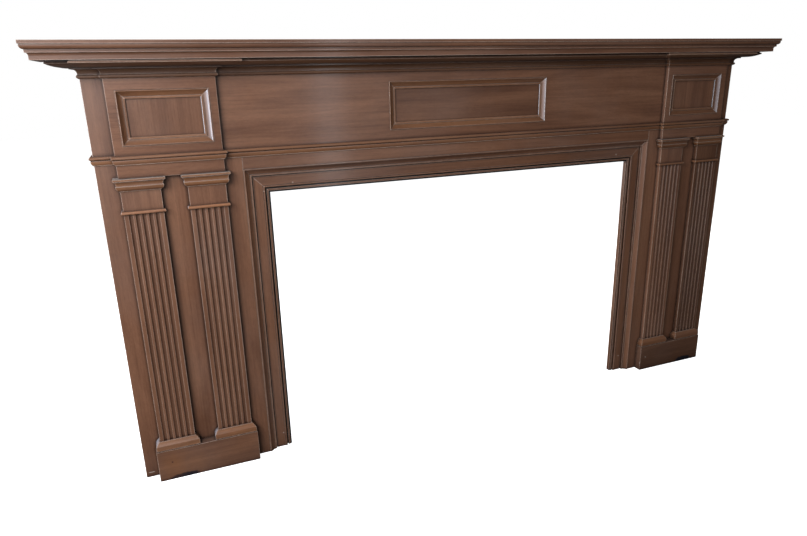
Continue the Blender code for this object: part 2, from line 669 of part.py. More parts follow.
def fluted_shaft(node_name, side, inner_x):
    """Pilaster board with stopped flutes cut in its face."""
    centre_x = inner_x + PILASTER_WIDTH / 2.0
    low_x = side * centre_x - PILASTER_WIDTH / 2.0
    high_x = low_x + PILASTER_WIDTH
    front = BLOCK_FRONT_Y
    back = FRIEZE_Y - CLEARANCE
    edges = []
    for number in range(FLUTE_COUNT):
        middle = side * centre_x + (number - (FLUTE_COUNT - 1) / 2.0) * FLUTE_PITCH
        edges.append((middle - FLUTE_WIDTH / 2.0, middle + FLUTE_WIDTH / 2.0))

    points = []

    def add(x, y, z):
        points.append((x, y, z))
        return len(points) - 1

    levels = (
        PLINTH_HEIGHT + CLEARANCE,
        BASE_TOP_Z - FLUTE_TUCK,
        ASTRAGAL_BOTTOM_Z + FLUTE_TUCK,
        LINTEL_BOTTOM_Z - CLEARANCE,
    )
    plain = []
    for z in levels:
        row = [add(low_x, back, z), add(low_x, front, z)]
        for left, right in edges:
            row += [add(left, front, z), add(right, front, z)]
        row += [add(high_x, front, z), add(high_x, back, z)]
        plain.append(row)
    arcs = []
    for z in levels[1:3]:
        level_arcs = []
        for left, right in edges:
            curve = bow((left, front), (right, front), -FLUTE_DEPTH, FLUTE_STEPS)[1:-1]
            level_arcs.append([add(x, y, z) for x, y in curve])
        arcs.append(level_arcs)

    faces = [tuple(plain[0]), tuple(plain[-1])]
    count = len(plain[0])
    for level in range(3):
        low, high = plain[level], plain[level + 1]
        for step in range(count):
            following = (step + 1) % count
            in_flute = 2 <= step < count - 2 and step % 2 == 0
            if level == 1 and in_flute:
                continue
            faces.append((low[step], low[following], high[following], high[step]))
    for number in range(FLUTE_COUNT):
        ends = (2 + 2 * number, 3 + 2 * number)
        chains = []
        for level in range(2):
            row = plain[level + 1]
            chains.append([row[ends[0]]] + arcs[level][number] + [row[ends[1]]])
            faces.append(tuple(chains[-1]))
        for step in range(len(chains[0]) - 1):
            faces.append((chains[0][step], chains[0][step + 1], chains[1][step + 1], chains[1][step]))
    return add_solid(node_name, points, faces, STILE_COLOUR)


def pilaster(side, side_name, place_name, inner_x, outer_return_y):
    """One pilaster: fluted board, capital, astragal and base mould."""
    outer_x = inner_x + PILASTER_WIDTH
    name = side_name + "_" + place_name
    plan = [
        (outer_x, outer_return_y),
        (outer_x, BLOCK_FRONT_Y),
        (inner_x, BLOCK_FRONT_Y),
        (inner_x, FRIEZE_Y - CLEARANCE),
    ]
    fluted_shaft("pilaster_" + name, side, inner_x)
    swept_mould("capital_" + name, plan, 0, 3, capital_profile(), side, MOULD_COLOUR)
    swept_mould("astragal_" + name, plan, 0, 3, astragal_profile(), side, MOULD_COLOUR)
    swept_mould("base_" + name, plan, 0, 3, base_profile(), side, MOULD_COLOUR)


def plinth(side, side_name):
    """Plinth block under both pilasters, notched to the outer strip."""
    front = PLINTH_FRONT_Y
    plan = [
        (PLINTH_INNER_X, front),
        (PLINTH_OUTER_X, front),
        (PLINTH_OUTER_X, STRIP_Y - CLEARANCE),
        (BLOCK_OUTER_X + CLEARANCE, STRIP_Y - CLEARANCE),
        (BLOCK_OUTER_X + CLEARANCE, FRIEZE_Y - CLEARANCE),
        (PLINTH_INNER_X, FRIEZE_Y - CLEARANCE),
    ]
    rings = [[(side * x, y, z) for x, y in plan] for z in (0.0, PLINTH_HEIGHT)]
    loft("plinth_" + side_name, rings, RAIL_COLOUR)


def carcase():
    """Boards that carry the mouldings."""
    back = FRIEZE_Y + BOARD_THICKNESS
    framed_board(
        "frieze_board",
        (-BLOCK_OUTER_X, RAIL_TOP_Z + CLEARANCE),
        (BLOCK_OUTER_X, SHELF_SOFFIT_Z - CLEARANCE),
        (-CENTRE_PANEL_HALF_WIDTH, CENTRE_PANEL_BOTTOM_Z),
        (CENTRE_PANEL_HALF_WIDTH, CENTRE_PANEL_TOP_Z),
        FRIEZE_Y,
        back,
        RAIL_COLOUR,
    )
    box(
        "head_rail",
        (-ARCHITRAVE_OUTER_X + CLEARANCE, FRIEZE_Y, ARCHITRAVE_TOP_Z),
        (ARCHITRAVE_OUTER_X - CLEARANCE, back, RAIL_TOP_Z),
        RAIL_COLOUR,
    )
    for side, side_name in SIDE_NAMES:
        low, high = sided(side, ARCHITRAVE_OUTER_X, BLOCK_OUTER_X)
        box("leg_board_" + side_name, (low, FRIEZE_Y, 0.0), (high, back, RAIL_TOP_Z), STILE_COLOUR)
        low, high = sided(side, BLOCK_OUTER_X + CLEARANCE, STRIP_OUTER_X)
        box(
            "outer_strip_" + side_name,
            (low, STRIP_Y, 0.0),
            (high, STRIP_Y + BOARD_THICKNESS, SHELF_SOFFIT_Z - CLEARANCE),
            STILE_COLOUR,
        )
        low, high = sided(side, STRIP_OUTER_X - BOARD_THICKNESS, STRIP_OUTER_X)
        box(
            "side_return_" + side_name,
            (low, STRIP_Y + BOARD_THICKNESS + CLEARANCE, 0.0),
            (high, WALL_Y, SHELF_SOFFIT_Z - CLEARANCE),
            STILE_COLOUR,
        )
        low, high = sided(side, BLOCK_INNER_X, BLOCK_OUTER_X)
        hole_low, hole_high = sided(side, BLOCK_PANEL_INNER_X, BLOCK_PANEL_OUTER_X)
        framed_board(
            "block_" + side_name,
            (low, LINTEL_BOTTOM_Z),
            (high, SHELF_SOFFIT_Z - CLEARANCE),
            (hole_low, BLOCK_PANEL_BOTTOM_Z),
            (hole_high, BLOCK_PANEL_TOP_Z),
            BLOCK_FRONT_Y,
            FRIEZE_Y - CLEARANCE,
            RAIL_COLOUR,
        )


def build():
    """Put the whole mantel together."""
    clear_scene()
    moulded_plate("shelf_board", shelf_edge(), RAIL_COLOUR)
    moulded_plate("shelf_underboard", underboard_edge(), MOULD_COLOUR)
    moulding_course("bed_mould", bed_profile())
    moulding_course("necking", neck_profile())
    carcase()
    for side, side_name in SIDE_NAMES:
        low, high = sided(side, BLOCK_PANEL_INNER_X, BLOCK_PANEL_OUTER_X)
        panel_low = (low, BLOCK_PANEL_BOTTOM_Z)
        panel_high = (high, BLOCK_PANEL_TOP_Z)
        panel_frame("block_frame_" + side_name, panel_low, panel_high, BLOCK_FRONT_Y)
        sunk_panel(
            "block_panel_" + side_name, panel_low, panel_high,
            BLOCK_FRONT_Y, FRIEZE_Y - CLEARANCE, STILE_COLOUR,
        )
        pilaster(side, side_name, "outer", PILASTER_A_INNER_X, STRIP_Y - CLEARANCE)
        pilaster(side, side_name, "inner", PILASTER_B_INNER_X, FRIEZE_Y - CLEARANCE)
        plinth(side, side_name)
    panel_low = (-CENTRE_PANEL_HALF_WIDTH, CENTRE_PANEL_BOTTOM_Z)
    panel_high = (CENTRE_PANEL_HALF_WIDTH, CENTRE_PANEL_TOP_Z)
    panel_frame("centre_frame", panel_low, panel_high, FRIEZE_Y)
    sunk_panel(
        "centre_panel", panel_low, panel_high,
        FRIEZE_Y, FRIEZE_Y + BOARD_THICKNESS, RAIL_COLOUR,
    )
    opening_frame("architrave", architrave_profile(), STILE_COLOUR, RAIL_COLOUR)
    opening_frame("lining", lining_profile(), STILE_COLOUR, RAIL_COLOUR)


build()
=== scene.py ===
import json
import math

import bpy
from mathutils import Matrix, Vector, noise

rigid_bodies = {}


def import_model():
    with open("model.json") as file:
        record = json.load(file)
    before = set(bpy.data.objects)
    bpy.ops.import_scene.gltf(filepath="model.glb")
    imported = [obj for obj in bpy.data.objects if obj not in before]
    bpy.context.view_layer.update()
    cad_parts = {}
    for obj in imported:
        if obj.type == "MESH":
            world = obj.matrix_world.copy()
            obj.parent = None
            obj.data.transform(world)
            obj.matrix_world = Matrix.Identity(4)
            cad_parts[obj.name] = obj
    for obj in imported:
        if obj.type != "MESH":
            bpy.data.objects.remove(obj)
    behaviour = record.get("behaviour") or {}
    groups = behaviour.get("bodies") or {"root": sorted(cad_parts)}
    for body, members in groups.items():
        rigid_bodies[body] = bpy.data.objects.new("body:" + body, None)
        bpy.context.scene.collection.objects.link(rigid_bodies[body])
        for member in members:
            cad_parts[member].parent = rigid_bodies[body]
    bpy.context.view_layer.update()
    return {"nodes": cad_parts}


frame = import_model()

# Camera, fitted to the photograph: metres, degrees, and picture points for the focal length
CAMERA_PLACE = (-0.956, -1.822, 1.177)
CAMERA_YAW = 21.28
CAMERA_PITCH = 17.27
CAMERA_ROLL = 1.35
SENSOR_WIDTH = 36.0
FOCAL_PIXELS = 619.3
IMAGE_WIDTH = 807.0
CLIP_RANGE = (0.05, 100.0)

# Studio: name, place, aim, width, height, power in watts, colour
LIGHTS = (
    ("window", (-2.20, -1.75, 1.80), (-0.75, 0.0, 0.80), 1.6, 1.4, 64.0, (0.98, 0.98, 1.0)),
    ("side_window", (-4.20, -0.40, 1.10), (-0.20, 0.0, 0.70), 0.9, 1.5, 120.0, (0.80, 0.90, 1.0)),
    ("doorway", (-1.50, -3.80, 1.90), (-0.60, 0.0, 0.80), 1.4, 1.8, 18.0, (0.86, 0.93, 1.0)),
    ("streak", (0.17, -2.40, 0.95), (-0.47, 0.0, 1.08), 0.16, 1.4, 5.0, (0.85, 0.93, 1.0)),
    ("back_left", (-2.60, 2.20, 1.00), (-1.00, 0.0, 0.60), 1.2, 1.6, 45.0, (0.90, 0.95, 1.0)),
    ("back_right", (2.40, 2.20, 1.90), (0.70, 0.1, 0.80), 1.5, 1.5, 60.0, (1.0, 0.98, 0.95)),
)
WORLD_FILL = (0.07, 0.07, 0.074, 1.0)
FLOOR_BOUNCE = (0.06, 0.054, 0.050, 1.0)
FLOOR_GLOW = 1.05
FLOOR_REACH = 14.0
FLOOR_ROUGHNESS = 0.9

# Solids: rounding of arrises, closing of the 0.3 mm joints, smooth shading
ROUNDING = 0.0013
ROUNDING_SEGMENTS = 2
ROUNDING_ANGLE = math.radians(32.0)
MITRE_ROUNDING = 0.0003
JOINT_SWELL = 0.00025
SMOOTH_ANGLE = math.radians(38.0)
WELD_DISTANCE = 0.00002
UPRIGHT = ("leg_board", "outer_strip", "side_return", "block_panel", "pilaster",
           "architrave_jamb", "lining_jamb")

# Noise of the grain: stretch along and across it, scale, detail, roughness, distortion
FIGURE = (1.0, 9.0, 1.3, 5.0, 0.6, 1.1)
STREAKS = (2.2, 110.0, 1.6, 4.0, 0.6, 0.15)
PORES = (16.0, 620.0, 1.6, 2.0, 0.6, 0.0)
MOTTLE = (90.0, 260.0, 1.0, 3.0, 0.65, 0.0)
# Noise that isn't drawn out: scale, detail, roughness
PATCHES = (2.6, 4.0, 0.6)
SPECKS = (70.0, 3.0, 0.7)
RAGGED = (2.4, 4.0, 0.7)
# Each piece is cut from another place of the grain
SHIFT_STEPS = (0.731, 1.937, 0.417)
SHIFT_CYCLE = 5.0
TINT_SPREAD = 0.07
TINT_STEP = 3.7

# Ramps: position and grey level of each stop
FIGURE_STOPS = (0.28, 0.50, 0.75)
STREAK_TONE = ((0.30, 0.80), (0.50, 1.0), (0.72, 1.13))
PORE_TONE = ((0.30, 0.55), (0.43, 1.0))
MOTTLE_TONE = ((0.30, 0.92), (0.70, 1.07))
HAZE_TONE = ((0.45, 0.0), (0.75, 0.14))
# Painted shade: hollows darkened by how closed they are
BROAD_SHADE_TONE = ((0.25, 0.55), (0.85, 1.0))
# Grime and painted shade in creases
CREASE_SHADE_AND_GRIME_TONE = ((0.45, 0.92), (0.75, 0.45), (0.95, 0.0))
SPECK_TONE = ((0.30, 0.50), (0.66, 1.0))
GLOSS_TONE = ((0.30, 0.36), (0.70, 0.50))
STREAK_SHARE = 0.8
PORE_SHARE = 0.55

# Masks
OCCLUSION_SAMPLES = 4
ARRIS_SAMPLES = 6
ARRIS_GAIN = 6.0
OPEN_FACE_POWER = 3.0
UPWARDS = (0.0, 0.0, 1.0)
LEFTWARDS = (-1.0, 0.0, 0.0)
LEDGE_FACING = (0.70, 0.95)
# Facing range of the painted reflection
REFLECTION_FACING = (0.25, 0.75)

# Polish, and the fine relief of pores and streaks
SPECULAR = 0.35
COAT = 0.28
COAT_ROUGHNESS = 0.16
STREAK_RELIEF = 0.8
BUMP_STRENGTH = 0.15
BUMP_DISTANCE = 0.0005

# Wood colours from dark to light, what lies on or is worn off each group of pieces, and painted
# shade, shadow, highlight and reflection
BOARD_TONES = ((0.126, 0.0540, 0.0300), (0.192, 0.0870, 0.0480), (0.260, 0.1240, 0.0700))
MOULD_TONES = ((0.137, 0.0570, 0.0280), (0.217, 0.0935, 0.0435), (0.302, 0.1405, 0.0665))
MOULDED = ("bed_mould", "necking", "capital", "astragal", "base_", "block_frame", "centre_frame")
MITRED = ("block_frame", "centre_frame", "architrave", "lining", "capital", "astragal", "base_")
# How much lighter or darker than its neighbours a piece is; the darker bed mould, right plinth and
# right outer pilaster are painted shade, the lighter astragals a painted highlight
TINTS_AND_PAINTED_LIGHT = {
    "pilaster_right_outer": 0.74,
    "bed_mould_left": 0.60,
    "bed_mould_centre": 0.66,
    "bed_mould_right": 0.72,
    "plinth_right": 0.62,
    "plinth_left": 0.92,
    "leg_board_right": 1.06,
    "architrave_head": 0.94,
    "head_rail": 0.95,
    "shelf_board": 0.92,
    "frieze_board": 1.02,
    "outer_strip_right": 1.16,
    "pilaster_right_inner": 1.12,
    "leg_board_left": 1.05,
    "block_right": 1.06,
    "block_panel_right": 1.08,
    "block_panel_left": 0.96,
    "centre_panel": 0.90,
    "outer_strip_left": 0.96,
    "lining_head": 0.85,
    "lining_jamb_left": 0.85,
    "lining_jamb_right": 0.85,
    "astragal_left_outer": 1.50,
    "astragal_left_inner": 1.50,
    "astragal_right_outer": 1.25,
    "astragal_right_inner": 1.25,
}
HAZE = (0.280, 0.225, 0.205, 1.0)
# Near-black for grime and painted shade in creases, and for the painted shadow under the shelf
SHADE_AND_GRIME = (0.026, 0.011, 0.007, 1.0)
# Pale arrises: rubbed wear, lightened also as a painted highlight
WORN_AND_HIGHLIT_ARRIS = (0.620, 0.470, 0.380, 1.0)
ARRIS_REACH = 0.0034
CREASE_REACH = 0.010
# Reach of the painted shade in hollows
BROAD_SHADE_REACH = 0.050
# How strongly arrises show wear and painted highlight
WEAR_AND_HIGHLIGHT = 0.90
MITRE_WEAR_AND_HIGHLIGHT = 0.80
# A paler tone on faces that look upwards, strongest on the capitals
LEDGE_PALE = (0.480, 0.440, 0.410, 1.0)
LEDGE_PALE_SHARE = 0.05
PALE_LEDGED = ("capital",)
PALE_LEDGED_SHARE = 0.80
# Painted reflection: a pale blue-grey on the left-facing faces of these pieces
PAINTED_REFLECTION_PIECES = ("base_left", "capital_left", "astragal_left", "block_frame_left_right",
            "block_frame_right_right", "centre_frame_right")
PAINTED_REFLECTION = (0.400, 0.480, 0.580, 1.0)
PAINTED_REFLECTION_SHARE = 0.34
# Painted shadow: the bed mould above this height, in the quirk under the shelf, made near-black
QUIRK_SHADOW_Z = 1.2279
QUIRK_SHADOW_SHARE = 0.90
# Painted shadow: the lining's groove and its edge at the opening made black, on the left jamb and
# head
SHADOWED_LININGS = ("lining_jamb_left", "lining_head")
PAINTED_SHADOW_BLACK = (0.012, 0.010, 0.010, 1.0)
SHADOW_DEPTH = 0.0200
OPENING_HALF_WIDTH = 0.657
OPENING_HEIGHT = 0.8555
SHADOW_WIDTH = 0.0052

# Marks seen in the photograph: node, centre, half size, colour, share, start and end of the edge
CRISP = (0.66, 0.76)
SOFT = (0.25, 0.95)
# Near-black patches along the foot of the plinths, and a small dark spot
NEAR_BLACK = (0.004, 0.008, 0.016, 1.0)
RUBBED = (0.290, 0.115, 0.040, 1.0)
CHIPPED = (0.600, 0.500, 0.430, 1.0)
MARKS = (
    ("plinth_left", (-1.001, -0.0285, -0.001), (0.050, 0.020, 0.0175), NEAR_BLACK, 1.0, CRISP),
    ("plinth_left", (-1.024, -0.0285, 0.053), (0.046, 0.020, 0.046), RUBBED, 0.40, SOFT),
    ("plinth_left", (-0.960, -0.0285, 0.045), (0.022, 0.020, 0.040), RUBBED, 0.25, SOFT),
    ("plinth_left", (-1.0785, -0.0285, 0.070), (0.0030, 0.010, 0.0050), CHIPPED, 0.85, CRISP),
    ("plinth_left", (-1.0785, -0.0285, 0.058), (0.0030, 0.010, 0.0040), CHIPPED, 0.85, CRISP),
    ("plinth_left", (-1.033, -0.0285, 0.060), (0.0030, 0.010, 0.0030), NEAR_BLACK, 0.60, CRISP),
    ("plinth_right", (0.998, -0.0285, 0.003), (0.046, 0.020, 0.0190), NEAR_BLACK, 0.90, CRISP),
    ("plinth_right", (0.767, -0.0285, 0.030), (0.0040, 0.010, 0.0140), CHIPPED, 0.55, CRISP),
    ("plinth_right", (0.795, -0.0285, 0.054), (0.0026, 0.010, 0.0026), CHIPPED, 0.80, CRISP),
    ("outer_strip_left", (-1.098, 0.012, 0.016), (0.0100, 0.010, 0.0014), CHIPPED, 0.80, CRISP),
    ("architrave_head", (0.603, 0.0155, 0.884), (0.0024, 0.010, 0.0024), CHIPPED, 0.80, CRISP),
    ("architrave_head", (-0.589, 0.0155, 0.880), (0.0020, 0.010, 0.0020), CHIPPED, 0.60, CRISP),
    ("architrave_head", (-0.456, 0.0155, 0.860), (0.0020, 0.010, 0.0020), CHIPPED, 0.55, CRISP),
    ("architrave_jamb_right", (0.694, 0.0155, 0.061), (0.0026, 0.010, 0.0026), CHIPPED, 0.80, CRISP),
    ("architrave_jamb_left", (-0.683, 0.0155, 0.050), (0.0022, 0.010, 0.0022), CHIPPED, 0.70, CRISP),
    ("architrave_jamb_left", (-0.676, 0.0155, 0.860), (0.0020, 0.010, 0.0020), CHIPPED, 0.50, CRISP),
)

# Numbers of the colour mix node's inputs and output
MIX_FACTOR, MIX_FIRST, MIX_SECOND = 0, 6, 7
MIX_RESULT = 2
WHITE = (1.0, 1.0, 1.0, 1.0)


def node(tree, kind, place, **values):
    """Add a shader node and set its properties."""
    made = tree.nodes.new(kind)
    made.location = place
    for key, value in values.items():
        setattr(made, key, value)
    return made


def feed(tree, made, inputs):
    """Give numbered inputs a socket to follow or a plain value."""
    for index, value in inputs:
        if isinstance(value, bpy.types.NodeSocket):
            tree.links.new(value, made.inputs[index])
        elif value is not None:
            made.inputs[index].default_value = value


def mix_colour(tree, place, blend, factor, first, second):
    """Colour mix whose inputs are sockets or plain values."""
    made = node(tree, "ShaderNodeMix", place, data_type="RGBA", blend_type=blend)
    feed(tree, made, ((MIX_FACTOR, factor), (MIX_FIRST, first), (MIX_SECOND, second)))
    return made.outputs[MIX_RESULT]


def math_node(tree, place, operation, first, second=None, clamp=False):
    """One arithmetic node."""
    made = node(tree, "ShaderNodeMath", place, operation=operation, use_clamp=clamp)
    feed(tree, made, ((0, first), (1, second)))
    return made.outputs[0]


def ramp(tree, place, source, stops):
    """Colour ramp: stops are (position, colour)."""
    made = node(tree, "ShaderNodeValToRGB", place)
    while len(made.color_ramp.elements) < len(stops):
        made.color_ramp.elements.new(0.5)
    for element, (position, colour) in zip(made.color_ramp.elements, stops):
        element.position = position
        element.color = colour
    tree.links.new(source, made.inputs[0])
    return made.outputs[0]


def grey_ramp(tree, place, source, stops):
    """Grey ramp: stops are (position, level)."""
    greys = [(position, (level, level, level, 1.0)) for position, level in stops]
    return ramp(tree, place, source, greys)


def cloud(tree, place, vector, scale, detail, rough, distortion=0.0):
    """Noise texture on the given coordinates."""
    made = node(tree, "ShaderNodeTexNoise", place)
    made.inputs["Scale"].default_value = scale
    made.inputs["Detail"].default_value = detail
    made.inputs["Roughness"].default_value = rough
    made.inputs["Distortion"].default_value = distortion
    tree.links.new(vector, made.inputs["Vector"])
    return made.outputs["Fac"]


def make_camera():
    """The camera stands in front of the left leg and looks down to the right."""
    yaw = math.radians(CAMERA_YAW)
    pitch = math.radians(CAMERA_PITCH)
    roll = math.radians(CAMERA_ROLL)
    reach = math.cos(pitch)
    forward = Vector((math.sin(yaw) * reach, math.cos(yaw) * reach, -math.sin(pitch)))
    level = Vector((math.cos(yaw), -math.sin(yaw), 0.0))
    down = forward.cross(level)
    right = math.cos(roll) * level + math.sin(roll) * down
    below = -math.sin(roll) * level + math.cos(roll) * down
    data = bpy.data.cameras.new("camera")
    data.sensor_width = SENSOR_WIDTH
    data.lens = FOCAL_PIXELS / IMAGE_WIDTH * SENSOR_WIDTH
    data.clip_start, data.clip_end = CLIP_RANGE
    camera = bpy.data.objects.new("camera", data)
    axes = Matrix((right, -below, -forward)).transposed().to_4x4()
    camera.matrix_world = Matrix.Translation(CAMERA_PLACE) @ axes
    bpy.context.scene.collection.objects.link(camera)
    bpy.context.scene.camera = camera


def area_light(name, place, aim, size, size_y, power, colour):
    """A soft rectangular light turned towards a point."""
    data = bpy.data.lights.new(name, "AREA")
    data.shape = "RECTANGLE"
    data.size = size
    data.size_y = size_y
    data.energy = power
    data.color = colour
    light = bpy.data.objects.new(name, data)
    light.location = place
    light.rotation_mode = "QUATERNION"
    light.rotation_quaternion = (Vector(aim) - Vector(place)).to_track_quat("-Z", "Y")
    bpy.context.scene.collection.objects.link(light)


def white_surround(tree, shader_name, socket, lit_tone):
    """Show a white surround behind the part without flooding the part with light."""
    path = tree.nodes.new("ShaderNodeLightPath")
    seen = path.outputs["Is Camera Ray"]
    mix = tree.nodes.new("ShaderNodeMix")
    mix.data_type = "RGBA"
    feed(tree, mix, ((MIX_FIRST, lit_tone), (MIX_SECOND, WHITE), (MIX_FACTOR, seen)))
    tree.links.new(mix.outputs[MIX_RESULT], tree.nodes[shader_name].inputs[socket])
    return seen


def make_floor():
    """Pale floor, level with the underside of the plinths."""
    mesh = bpy.data.meshes.new("floor")
    reach = FLOOR_REACH
    mesh.from_pydata(
        [(-reach, -reach, 0.0), (reach, -reach, 0.0), (reach, reach, 0.0), (-reach, reach, 0.0)],
        [], [(0, 1, 2, 3)],
    )
    floor = bpy.data.objects.new("floor", mesh)
    bpy.context.scene.collection.objects.link(floor)
    material = bpy.data.materials.new("floor")
    material.use_nodes = True
    tree = material.node_tree
    shader = tree.nodes["Principled BSDF"]
    shader.inputs["Roughness"].default_value = FLOOR_ROUGHNESS
    shader.inputs["Specular IOR Level"].default_value = 0.0
    seen = white_surround(tree, "Principled BSDF", "Base Color", FLOOR_BOUNCE)
    glow = math_node(tree, (-300, -300), "MULTIPLY", seen, FLOOR_GLOW)
    shader.inputs["Emission Color"].default_value = WHITE
    tree.links.new(glow, shader.inputs["Emission Strength"])
    mesh.materials.append(material)


def make_studio():
    """Pale surroundings and window light from the left."""
    make_floor()
    world = bpy.data.worlds.new("studio")
    world.use_nodes = True
    world.node_tree.nodes["Background"].inputs["Strength"].default_value = 1.0
    white_surround(world.node_tree, "Background", "Color", WORLD_FILL)
    bpy.context.scene.world = world
    bpy.context.scene.view_settings.view_transform = "Standard"
    for name, place, aim, width, height, power, colour in LIGHTS:
        area_light(name, place, aim, width, height, power, colour)


def occlusion_mask(tree, place, reach):
    """One on open faces, falling to zero in the bottom of creases."""
    occlusion = node(tree, "ShaderNodeAmbientOcclusion", place, samples=OCCLUSION_SAMPLES)
    occlusion.inputs["Distance"].default_value = reach
    return occlusion.outputs["AO"]


def arris_mask(tree, place, radius):
    """One along arrises and creases, zero on flat faces."""
    x, y = place
    bevel = node(tree, "ShaderNodeBevel", (x, y), samples=ARRIS_SAMPLES)
    bevel.inputs["Radius"].default_value = radius
    geometry = node(tree, "ShaderNodeNewGeometry", (x, y - 200))
    facing = node(tree, "ShaderNodeVectorMath", (x + 200, y), operation="DOT_PRODUCT")
    tree.links.new(bevel.outputs[0], facing.inputs[0])
    tree.links.new(geometry.outputs["Normal"], facing.inputs[1])
    edge = math_node(tree, (x + 400, y), "SUBTRACT", 1.0, facing.outputs["Value"], clamp=True)
    return math_node(tree, (x + 550, y), "MULTIPLY", edge, ARRIS_GAIN, clamp=True)


def facing_mask(tree, place, direction, edge):
    """One on faces that look along a fixed direction of the part, zero on all others."""
    x, y = place
    geometry = node(tree, "ShaderNodeNewGeometry", (x, y))
    facing = node(tree, "ShaderNodeVectorMath", (x + 200, y), operation="DOT_PRODUCT")
    tree.links.new(geometry.outputs["True Normal"], facing.inputs[0])
    facing.inputs[1].default_value = direction
    start, end = edge
    return grey_ramp(tree, (x + 400, y), facing.outputs["Value"], ((start, 0.0), (end, 1.0)))


def mark_mask(tree, place, coords, centre, half_size, edge):
    """One inside a ragged ellipsoid round a point, zero outside it."""
    x, y = place
    local = node(tree, "ShaderNodeMapping", (x, y), vector_type="TEXTURE")
    local.inputs["Location"].default_value = centre
    local.inputs["Scale"].default_value = half_size
    tree.links.new(coords, local.inputs["Vector"])
    distance = node(tree, "ShaderNodeVectorMath", (x + 200, y), operation="LENGTH")
    tree.links.new(local.outputs[0], distance.inputs[0])
    ragged = cloud(tree, (x + 200, y - 200), local.outputs[0], *RAGGED)
    reach = math_node(tree, (x + 400, y), "ADD", distance.outputs["Value"], ragged)
    reach = math_node(tree, (x + 500, y), "MULTIPLY", reach, 0.5)
    start, end = edge
    return grey_ramp(tree, (x + 600, y), reach, ((start, 1.0), (end, 0.0)))


def lining_shadow_mask(tree, place, coords):
    """Painted shadow: one on the lining's outer edge and in its groove, zero on the strip between
    them.
    """
    x, y = place
    parts = node(tree, "ShaderNodeSeparateXYZ", (x, y))
    tree.links.new(coords, parts.inputs[0])
    beside = math_node(tree, (x + 200, y), "ABSOLUTE", parts.outputs[0])
    beside = math_node(tree, (x + 350, y), "SUBTRACT", beside, OPENING_HALF_WIDTH)
    above = math_node(tree, (x + 350, y - 150), "SUBTRACT", parts.outputs[2], OPENING_HEIGHT)
    distance = math_node(tree, (x + 500, y), "MAXIMUM", beside, above)
    edge = math_node(tree, (x + 650, y), "LESS_THAN", distance, SHADOW_WIDTH)
    deep = math_node(tree, (x + 650, y - 150), "GREATER_THAN", parts.outputs[1], SHADOW_DEPTH)
    return math_node(tree, (x + 800, y), "MAXIMUM", edge, deep)


def grain_layers(tree, vector, axis):
    """The noises that the wood's colour, gloss and relief are made of."""
    def drawn_out(place, along, across, *noise_values):
        x, y = place
        mapping = node(tree, "ShaderNodeMapping", (x - 200, y))
        scale = {"x": (along, across, across), "z": (across, across, along)}[axis]
        mapping.inputs["Scale"].default_value = scale
        tree.links.new(vector, mapping.inputs["Vector"])
        return cloud(tree, place, mapping.outputs[0], *noise_values)

    return {
        "figure": drawn_out((-1300, 400), *FIGURE),
        "streaks": drawn_out((-1300, 150), *STREAKS),
        "pores": drawn_out((-1300, -100), *PORES),
        "patches": cloud(tree, (-1300, -350), vector, *PATCHES),
        "specks": cloud(tree, (-1300, -600), vector, *SPECKS),
        "mottle": drawn_out((-1300, -750), *MOTTLE),
    }


def wood_colour(tree, grain, tones, tint):
    """Bare wood: figure, streaks, pores, mottle and a light haze in patches."""
    colours = [(red * tint, green * tint, blue * tint, 1.0) for red, green, blue in tones]
    base = ramp(tree, (-1000, 400), grain["figure"], list(zip(FIGURE_STOPS, colours)))
    streaks = grey_ramp(tree, (-1000, 150), grain["streaks"], STREAK_TONE)
    base = mix_colour(tree, (-700, 350), "MULTIPLY", STREAK_SHARE, base, streaks)
    pores = grey_ramp(tree, (-1000, -100), grain["pores"], PORE_TONE)
    base = mix_colour(tree, (-500, 300), "MULTIPLY", PORE_SHARE, base, pores)
    mottle = grey_ramp(tree, (-1000, -800), grain["mottle"], MOTTLE_TONE)
    base = mix_colour(tree, (-400, 280), "MULTIPLY", 1.0, base, mottle)
    haze = grey_ramp(tree, (-1000, -350), grain["patches"], HAZE_TONE)
    return mix_colour(tree, (-300, 250), "MIX", haze, base, HAZE)


